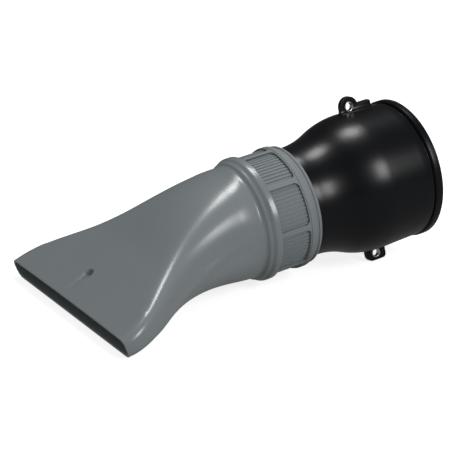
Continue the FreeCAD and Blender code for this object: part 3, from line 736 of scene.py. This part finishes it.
@dataclass
class FanNozzle(Moulding):
    """The flat fan with its round tube, step, flange and the sleeve under the collar.

    One ring of points is extruded from the mouth to the tube and laid on the CAD skin station by
    station. The tube's foot, flange and sleeve are turned after it, and a solidify gives the wall.
    """

    ring_points: int = 176
    fan_steps: int = 84
    station_crowding: float = 1.15
    fan_mm: float = 123.0
    mouth_half_width_mm: float = 79.5
    mouth_half_height_mm: float = 7.4
    mouth_drop_mm: float = 17.0
    mouth_slant: float = 13.0
    slant_share: float = 0.2
    tube_mm: float = 37.5
    belly_rise_mm: float = 7.0
    belly_power: float = 3.65
    round_power: float = 2.0
    square_gain: float = 5.0
    places: tuple[float, ...] = (0.0, 0.10, 0.27, 0.445, 0.63, 0.90, 1.0)
    spreads: tuple[float, ...] = (1.0, 0.97, 0.69, 0.345, 0.15, 0.0, 0.0)
    outward_share: float = 0.25
    wall_mm: float = 1.5
    bend_segments: int = 4
    lip_round_mm: float = 0.4
    lip_segments: int = 3
    lip_turn: float = 60.0
    lip_reach_mm: float = 6.0
    outside_turns: tuple[TurnedRing, ...] = (
        TurnedRing(123.6, 37.56), TurnedRing(124.3, 37.8), TurnedRing(124.9, 38.2),
        TurnedRing(125.35, 38.7), TurnedRing(125.75, 39.15), TurnedRing(126.3, 39.45),
        TurnedRing(127.1, 39.6), TurnedRing(127.9, 39.8), TurnedRing(128.5, 40.15),
        TurnedRing(129.0, 40.6), TurnedRing(129.5, 41.0), TurnedRing(130.1, 41.28),
        TurnedRing(130.9, 41.4), TurnedRing(133.9, 41.4, 0.7), TurnedRing(133.95, 37.3, 0.2),
        TurnedRing(164.5, 37.3))
    net_rounds: int = 3
    kept_rings: int = 2
    shoulder_rounds: int = 10
    shoulder_smoothed: tuple[float, float] = (0.16, 0.90)
    shoulder_height: float = 0.12
    shoulder_ease: float = 0.42
    shoulder_from: float = 0.35
    shoulder_to: float = 0.85
    shoulder_fade: float = 0.1
    shoulder_power: float = 0.5
    flank_turn: float = -0.95
    flank_climb: float = 1.3
    flank_highest: float = 0.05
    flank_edge_mm: float = 1.2
    flank_spread: float = 0.14
    flank_from: float = 0.2
    flank_length: float = 0.75
    dimple_start_mm: float = 6.2
    dimple_side_mm: float = 4.4
    dimple_length_mm: float = 16.0
    dimple_radius_mm: float = 3.9
    dimple_depth_mm: float = 3.0
    dimple_tail_width: float = 0.42
    dimple_tail_depth: float = 0.45
    dimple_drift: float = 0.2
    dimple_cuts: int = 6
    patch_before_mm: float = 2.0
    patch_around_mm: float = 2.5
    patch_lowest_mm: float = -12.0

    def spread(self, share: float) -> float:
        """Draws a smooth curve through the half widths of the fan's sections.

        Args:
            share: place along the fan, 0 at the mouth and 1 at the tube.

        Returns:
            The half width, as a share of the way from the tube's to the mouth's.
        """
        final = len(self.places) - 1
        index = next(number for number in range(final) if share <= self.places[number + 1])
        before, after = max(index - 1, 0), min(index + 2, final)
        low, high = self.places[index], self.places[index + 1]
        first, last = self.spreads[index], self.spreads[index + 1]
        lead = (last - self.spreads[before]) / (high - self.places[before])
        trail = (self.spreads[after] - first) / (self.places[after] - low)
        step = high - low
        part = (share - low) / step
        square, cube = part * part, part ** 3
        return ((2 * cube - 3 * square + 1) * first + (cube - 2 * square + part) * step * lead
                + (3 * square - 2 * cube) * last + (cube - square) * step * trail)

    def half_width(self, share: float) -> float:
        """Half the fan's width at a share of its length, in millimetres."""
        return self.tube_mm + self.spread(share) * (self.mouth_half_width_mm - self.tube_mm)

    def guess(self, share: float, turn: float) -> Vector:
        """Draws a point close to the CAD skin from the fan's own sizes.

        Args:
            share: place along the fan, 0 at the mouth and 1 at the tube.
            turn: place round the section, in radians from its right-hand side.

        Returns:
            The point in the section's plane, across and up, in millimetres.
        """
        half = self.half_width(share)
        top = (self.mouth_half_height_mm - self.mouth_drop_mm) * (1 - share) + self.tube_mm * share
        low = -self.mouth_half_height_mm - self.mouth_drop_mm
        fall = self.tube_mm + low + self.belly_rise_mm
        bottom = low + self.belly_rise_mm * share - fall * share ** self.belly_power
        height = (top - bottom) / 2
        power = self.round_power + self.square_gain * (1 - share) ** 2
        across, up = math.cos(turn), math.sin(turn)
        reach = (abs(across) ** power + abs(up) ** power) ** (-1 / power)
        return Vector((0.0, reach * across * half, reach * up * height + (top + bottom) / 2))

    def section(self, share: float) -> tuple[float, float, float]:
        """Gives the fan's section at a share of its length.

        Args:
            share: place along the fan.

        Returns:
            Its middle height, half height and half width, in millimetres.
        """
        low, high = self.guess(share, -math.pi / 2).z, self.guess(share, math.pi / 2).z
        return (low + high) / 2, (high - low) / 2, self.half_width(share)

    def outer_skin(self) -> BVHTree:
        """Keeps the CAD skin's outward faces, along the part's own axis, to lay points on.

        Returns:
            The faces as a search tree.
        """
        skin = self.merged_copy()
        bmesh.ops.transform(skin, matrix=AXIS.matrix().inverted(), verts=skin.verts[:])
        inward = []
        for face in skin.faces:
            spot = face.calc_center_median() / MM
            middle, height, half = self.section(min(max(spot.x / self.fan_mm, 0.0), 1.0))
            flat = max(half - height, 0.0)
            core = Vector((spot.x, min(max(spot.y, -flat), flat), middle))
            out = spot - core
            if face.normal.dot(out) < self.outward_share * out.length or self.in_patch(spot):
                inward.append(face)
        bmesh.ops.delete(skin, geom=inward, context="FACES")
        tree = BVHTree.FromBMesh(skin)
        skin.free()
        return tree

    def in_patch(self, spot: Vector) -> bool:
        """Tells whether a point lies in the patch of the top panel round the dimple.

        Args:
            spot: the point along the part's own axis, in millimetres.

        Returns:
            True inside the patch.
        """
        back = self.dimple_start_mm + self.dimple_length_mm
        along = self.dimple_start_mm - self.patch_before_mm < spot.x < back + self.patch_around_mm
        side = abs(spot.y - self.dimple_side_mm) < self.dimple_radius_mm + self.patch_around_mm
        return along and side and spot.z > self.patch_lowest_mm

    def panel(self, spot: Vector) -> Vector:
        """Sets a point on the plain top panel.

        Args:
            spot: the point, in millimetres.

        Returns:
            The point on the panel.
        """
        rise = self.tube_mm + self.mouth_drop_mm - self.mouth_half_height_mm
        height = self.mouth_half_height_mm - self.mouth_drop_mm + rise * spot.x / self.fan_mm
        return Vector((spot.x, spot.y, height))

    def laid(self, tree: BVHTree, share: float, turn: float) -> Vector:
        """Lays one point of the fan on the CAD skin and eases it.

        Args:
            tree: the CAD skin.
            share: place along the fan.
            turn: place round the section.

        Returns:
            The point, in metres along the part's own axis.
        """
        start = self.guess(share, turn)
        middle = self.section(share)[0]
        lean = math.radians(self.mouth_slant) * max(0.0, 1.0 - share / self.slant_share) ** 2
        up = start.z - middle
        spot = Vector((share * self.fan_mm - up * math.sin(lean), start.y, middle + up * math.cos(lean)))
        found = tree.find_nearest(spot * MM)[0] / MM
        if self.in_patch(spot):
            found = self.panel(spot)
        return self.eased(found, share, turn) * MM

    def eased(self, spot: Vector, share: float, turn: float) -> Vector:
        """Draws the shoulder towards the round tube and lifts a soft edge along the flank.

        The photograph's long highlight asks for the first and the line under it for the second.

        Args:
            spot: the point on the CAD skin, in millimetres.
            share: place along the fan.
            turn: place round the section.

        Returns:
            The eased point.
        """
        low, high = self.shoulder_from, self.shoulder_to
        part = min(max((share - low) / (high - low), 0.0), 1.0)
        fade = min(max((1.0 - share) / self.shoulder_fade, 0.0), 1.0)
        above = max(math.sin(turn), 0.0) ** self.shoulder_power
        weight = self.shoulder_ease * part * part * (3 - 2 * part) * above * fade
        tube = Vector((spot.x, self.tube_mm * math.cos(turn), self.tube_mm * math.sin(turn)))
        line = min(self.flank_turn + self.flank_climb * share, self.flank_highest)
        side = min(abs(turn - line), abs(math.pi - turn - line), abs(-math.pi - turn - line))
        along = min(max((share - self.flank_from) / self.flank_length, 0.0), 1.0)
        stretch = math.sin(math.pi * along) ** 0.5
        pinch = self.flank_edge_mm * stretch * math.exp(-(side / self.flank_spread) ** 2)
        return spot.lerp(tube, weight) + Vector((0.0, math.copysign(pinch, math.cos(turn)), 0.0))

    def finished_skin(self) -> bmesh.types.BMesh:
        """Extrudes the ring from the mouth over the fan, the tube, the flange and the sleeve.

        Returns:
            The closed skin, in the resting place.
        """
        skin = bmesh.new()
        bmesh.ops.create_circle(skin, cap_ends=False, segments=self.ring_points, radius=self.tube_mm * MM)
        ring = list(skin.verts)
        turns = [math.atan2(point.co.y, point.co.x) for point in ring]
        ring = self.extrude_fan(skin, ring, turns)
        bends = []
        for outside in self.outside_turns:
            ring = self.next_ring(skin, ring)
            place, radius = outside.place_mm, outside.radius_mm
            for point, turn in zip(ring, turns):
                point.co = Vector((place, radius * math.cos(turn), radius * math.sin(turn))) * MM
            if outside.bend_mm > 0.0:
                bends.append((set(ring), outside.bend_mm))
        self.carve_dimple(skin)
        bmesh.ops.recalc_face_normals(skin, faces=skin.faces[:])
        bmesh.ops.solidify(skin, geom=skin.faces[:], thickness=self.wall_mm * MM)
        for members, bend in bends:
            loop = [edge for edge in skin.edges if edge.verts[0] in members and edge.verts[1] in members]
            bevelled(skin, loop, bend, self.bend_segments)
        self.round_lip(skin)
        bmesh.ops.transform(skin, matrix=AXIS.matrix(), verts=skin.verts[:])
        return skin

    def extrude_fan(self, skin: bmesh.types.BMesh, ring: list[bmesh.types.BMVert],
                    turns: list[float]) -> list[bmesh.types.BMVert]:
        """Extrudes the mouth's ring to the tube, laid on the CAD skin and smoothed.

        Args:
            skin: the mesh.
            ring: the mouth's points, in order.
            turns: their places round the section.

        Returns:
            The last ring's points, in the same order.
        """
        tree = self.outer_skin()
        stations = [(step / self.fan_steps) ** self.station_crowding for step in range(self.fan_steps + 1)]
        rings = [ring]
        for share in stations:
            if share > 0.0:
                ring = self.next_ring(skin, ring)
                rings.append(ring)
            for point, turn in zip(ring, turns):
                point.co = self.laid(tree, share, turn)
        inner = [point for loop in rings[self.kept_rings:-self.kept_rings] for point in loop]
        smoothed(skin, inner, self.net_rounds)
        start, end = self.shoulder_smoothed
        shoulder = [point for loop, share in zip(rings, stations) if start < share < end
                    for point, turn in zip(loop, turns) if math.sin(turn) > self.shoulder_height]
        smoothed(skin, shoulder, self.shoulder_rounds)
        return ring

    def next_ring(self, skin: bmesh.types.BMesh, ring: list[bmesh.types.BMVert]) -> list[bmesh.types.BMVert]:
        """Extrudes one more ring from the last one.

        Args:
            skin: the mesh.
            ring: the last ring's points, in order.

        Returns:
            The new ring's points, in the same order.
        """
        members = set(ring)
        loop = dict.fromkeys(edge for point in ring for edge in point.link_edges
                             if edge.other_vert(point) in members)
        made = bmesh.ops.extrude_edge_only(skin, edges=list(loop))["geom"]
        fresh = {item for item in made if isinstance(item, bmesh.types.BMVert)}
        return [next(edge.other_vert(point) for edge in point.link_edges if edge.other_vert(point) in fresh)
                for point in ring]

    def carve_dimple(self, skin: bmesh.types.BMesh) -> None:
        """Sinks a small teardrop scoop into the top panel, deepest at its round end.

        Args:
            skin: the open outer skin, along the part's own axis.
        """
        patch = dict.fromkeys(edge for face in skin.faces for edge in face.edges
                              if any(self.in_patch(point.co / MM) for point in face.verts))
        bmesh.ops.subdivide_edges(skin, edges=list(patch), cuts=self.dimple_cuts, use_grid_fill=True)
        for point in skin.verts:
            spot = point.co / MM
            if self.in_patch(spot):
                depth = self.dimple_depth(spot)
                point.co.z -= depth * MM
                point.co.x += self.dimple_drift * depth * MM
        scoop = [point for point in skin.verts if self.in_patch(point.co / MM) and not point.is_boundary]
        smoothed(skin, scoop, 1)

    def dimple_depth(self, spot: Vector) -> float:
        """Gives the scoop's depth under a point of the panel.

        Args:
            spot: the point along the part's own axis, in millimetres.

        Returns:
            The depth in millimetres, 0 outside the teardrop.
        """
        along = (spot.x - self.dimple_start_mm) / self.dimple_length_mm
        if not 0.0 < along < 1.0:
            return 0.0
        end = self.dimple_radius_mm / self.dimple_length_mm
        part = along / (1 - end)
        if part <= 1.0:
            width = self.dimple_radius_mm * (self.dimple_tail_width + (1 - self.dimple_tail_width) * part)
        else:
            width = self.dimple_radius_mm * math.sqrt(max(1 - ((along - 1 + end) / end) ** 2, 0.0))
        off = abs(spot.y - self.dimple_side_mm) / max(width, 1e-6)
        if off >= 1.0:
            return 0.0
        share = self.dimple_tail_depth + (1 - self.dimple_tail_depth) * min(part, 1.0)
        return self.dimple_depth_mm * share * (1 - off ** 3)

    def round_lip(self, skin: bmesh.types.BMesh) -> None:
        """Rounds the mouth's two sharp rims.

        Args:
            skin: the walled skin, along the part's own axis.
        """
        least = math.radians(self.lip_turn)
        rim = [edge for edge in skin.edges if edge.is_manifold and edge.calc_face_angle(0.0) > least
               and max(point.co.x for point in edge.verts) < self.lip_reach_mm * MM]
        bevelled(skin, rim, self.lip_round_mm, self.lip_segments)


@dataclass
class EarBush:
    """A turned metal bush with rolled ends, set in an ear of the adapter."""

    node: str
    bore_mm: float = 2.5
    outside_mm: float = 3.3
    roll_mm: float = 0.28
    roll_segments: int = 4
    steps: int = 64

    def build(self) -> bpy.types.Object:
        """Spins the bush's section round its hole.

        Returns:
            The finished object.
        """
        low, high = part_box(self.node)
        middle = (low + high) / 2
        turned = AXIS.matrix(Turn.ADAPTER).to_3x3()
        across, along = turned @ Vector((0.0, 1.0, 0.0)), turned @ Vector((1.0, 0.0, 0.0))
        half = self.half_length(middle, across)
        section = bmesh.new()
        corners = ((self.bore_mm, -half), (self.outside_mm, -half),
                   (self.outside_mm, half), (self.bore_mm, half))
        points = [section.verts.new(middle + along * radius * MM + across * side)
                  for radius, side in corners]
        for first, second in zip(points, points[1:] + points[:1]):
            section.edges.new((first, second))
        bmesh.ops.bevel(section, geom=points, offset=self.roll_mm * MM, segments=self.roll_segments,
                        profile=0.5, affect="VERTICES", material=-1)
        bmesh.ops.spin(section, geom=section.verts[:] + section.edges[:], cent=middle, axis=across,
                       angle=math.tau, steps=self.steps, use_merge=True)
        bmesh.ops.recalc_face_normals(section, faces=section.faces[:])
        piece = finished_object(section, self.node + "_turned", ZINC_STEEL.material())
        return handed_over(piece, self.node)

    def half_length(self, middle: Vector, across: Vector) -> float:
        """Half the bush's length, read from its CAD node along the hole."""
        points = frame["nodes"][self.node].data.vertices
        return max(abs((point.co - middle).dot(across)) for point in points)


# Studio

@dataclass(frozen=True)
class PhotoCamera:
    """The camera at the photograph's viewing angle."""

    place: tuple[float, float, float] = (-0.542359, -0.888277, 0.398833)
    forward: tuple[float, float, float] = (0.483992, 0.810669, -0.329497)
    up: tuple[float, float, float] = (0.157577, 0.289642, 0.944075)
    sensor_mm: float = 36.0
    focal_px: float = 1700.0
    frame_px: float = 458.0
    clip: tuple[float, float] = (0.01, 100.0)

    def build(self) -> bpy.types.Object:
        """Makes the camera and hands it to the scene.

        Returns:
            The camera's object.
        """
        data = bpy.data.cameras.new("photo_camera")
        data.sensor_fit = "HORIZONTAL"
        data.sensor_width = self.sensor_mm
        data.lens = self.sensor_mm * self.focal_px / self.frame_px
        data.clip_start, data.clip_end = self.clip
        camera = bpy.data.objects.new("photo_camera", data)
        back = -Vector(self.forward).normalized()
        right = Vector(self.up).cross(back).normalized()
        turn = Matrix((right, back.cross(right), back)).transposed()
        camera.matrix_world = Matrix.Translation(self.place) @ turn.to_4x4()
        bpy.context.scene.collection.objects.link(camera)
        bpy.context.scene.camera = camera
        return camera


@dataclass(frozen=True)
class SoftBox:
    """A soft area lamp that looks at the middle of the part."""

    name: str
    direction: tuple[float, float, float]
    size: tuple[float, float]
    power: float
    distance: float = 1.3
    aim: tuple[float, float, float] = (0.0, 0.0, 0.05)

    def build(self) -> bpy.types.Object:
        """Makes the lamp, turned to its aim.

        Returns:
            The lamp's object.
        """
        data = bpy.data.lights.new(self.name, "AREA")
        data.shape = "RECTANGLE"
        data.size, data.size_y = self.size
        data.energy = self.power
        lamp = bpy.data.objects.new(self.name, data)
        way = Vector(self.direction).normalized()
        lamp.location = Vector(self.aim) + way * self.distance
        lamp.rotation_euler = way.to_track_quat("Z", "Y").to_euler()
        bpy.context.scene.collection.objects.link(lamp)
        return lamp


@dataclass
class Studio:
    """White floor, pale surroundings and the soft boxes."""

    floor_half: float = 9.0
    floor_cells: int = 8
    floor_tone: float = 0.5
    floor_glow: float = 0.80
    floor_glossy: float = 0.22
    room_level: float = 0.50
    room_glossy: float = 0.05
    boxes: tuple[SoftBox, ...] = (
        SoftBox("top_box", (0.15, 0.28, 0.95), (0.36, 0.36), 8.2),
        SoftBox("front_box", (0.29, -0.78, 0.51), (0.26, 0.50), 8.0))

    def build(self) -> None:
        """Builds the floor, the surroundings and the lamps."""
        self.build_floor()
        self.build_room()
        for box in self.boxes:
            box.build()

    @staticmethod
    def mirrored(sheet: NodeSheet, rays: bpy.types.Node) -> bpy.types.NodeSocket:
        """Tells rays that were mirrored or let through from the others.

        Args:
            sheet: the node sheet.
            rays: its Light Path node.

        Returns:
            A socket that is 1 for such rays and 0 for the others.
        """
        return sheet.math("MAXIMUM", rays.outputs["Is Glossy Ray"], rays.outputs["Is Transmission Ray"])

    def build_floor(self) -> bpy.types.Object:
        """Makes the floor, white to the camera and plain to the light.

        Returns:
            The floor's object.
        """
        ground = bmesh.new()
        bmesh.ops.create_grid(ground, x_segments=self.floor_cells, y_segments=self.floor_cells,
                              size=self.floor_half)
        material = bpy.data.materials.new("studio_floor")
        material.use_nodes = True
        material.node_tree.nodes.clear()
        sheet = NodeSheet(material.node_tree)
        rays = sheet.add("ShaderNodeLightPath")
        tone, shine = (self.floor_tone,) * 3, (self.floor_glossy,) * 3
        plain = sheet.add("ShaderNodeBsdfDiffuse", {"Color": (*tone, 1.0)})
        glow = sheet.add("ShaderNodeEmission", {"Color": (1.0, 1.0, 1.0, 1.0)})
        sheet.join(sheet.math("MULTIPLY", rays.outputs["Is Camera Ray"], self.floor_glow),
                   glow.inputs["Strength"])
        both = sheet.add("ShaderNodeAddShader")
        sheet.join(plain.outputs["BSDF"], both.inputs[0])
        sheet.join(glow.outputs["Emission"], both.inputs[1])
        seen = sheet.add("ShaderNodeEmission", {"Color": (*shine, 1.0), "Strength": 1.0})
        choice = sheet.add("ShaderNodeMixShader")
        sheet.join(self.mirrored(sheet, rays), choice.inputs[0])
        sheet.join(both.outputs["Shader"], choice.inputs[1])
        sheet.join(seen.outputs["Emission"], choice.inputs[2])
        output = sheet.add("ShaderNodeOutputMaterial")
        sheet.join(choice.outputs["Shader"], output.inputs["Surface"])
        floor = finished_object(ground, "studio_floor", material)
        return floor

    def build_room(self) -> None:
        """Makes the world white to the camera and a soft grey to the part."""
        world = bpy.data.worlds.new("studio_room")
        bpy.context.scene.world = world
        world.use_nodes = True
        world.node_tree.nodes.clear()
        sheet = NodeSheet(world.node_tree)
        rays = sheet.add("ShaderNodeLightPath")
        darker = sheet.math("MULTIPLY", self.mirrored(sheet, rays), self.room_glossy - self.room_level)
        soft = sheet.math("ADD", darker, self.room_level)
        level = sheet.math("MAXIMUM", soft, rays.outputs["Is Camera Ray"])
        ground = sheet.add("ShaderNodeBackground", {"Color": (1.0, 1.0, 1.0, 1.0)})
        sheet.join(level, ground.inputs["Strength"])
        output = sheet.add("ShaderNodeOutputWorld")
        sheet.join(ground.outputs["Background"], output.inputs["Surface"])


def clear_start_scene() -> None:
    """Removes the start-up cube, lamp and camera that are not part of the frame."""
    for thing in list(bpy.data.objects):
        if thing.name in START_THINGS:
            bpy.data.objects.remove(thing, do_unlink=True)


def main() -> None:
    """Builds the camera, the studio and the five pieces, in order."""
    logging.basicConfig(level=logging.INFO, format="%(name)s: %(message)s")
    clear_start_scene()
    bpy.context.scene.view_settings.view_transform = "Standard"
    PhotoCamera().build()
    Studio().build()
    pieces = (
        FanNozzle("flat_nozzle", Slot.GREY, GREY_PLASTIC),
        GripCollar("grip_collar", Slot.COLLAR, COLLAR_PLASTIC, EdgeRound(0.42, 4)),
        Moulding("blower_adapter", Slot.BLACK, BLACK_PLASTIC, EdgeRound(0.35, 3), Turn.ADAPTER),
        EarBush("ear_bush_upper"),
        EarBush("ear_bush_lower"),
    )
    for piece in pieces:
        piece.build()


if __name__ == "__main__":
    main()
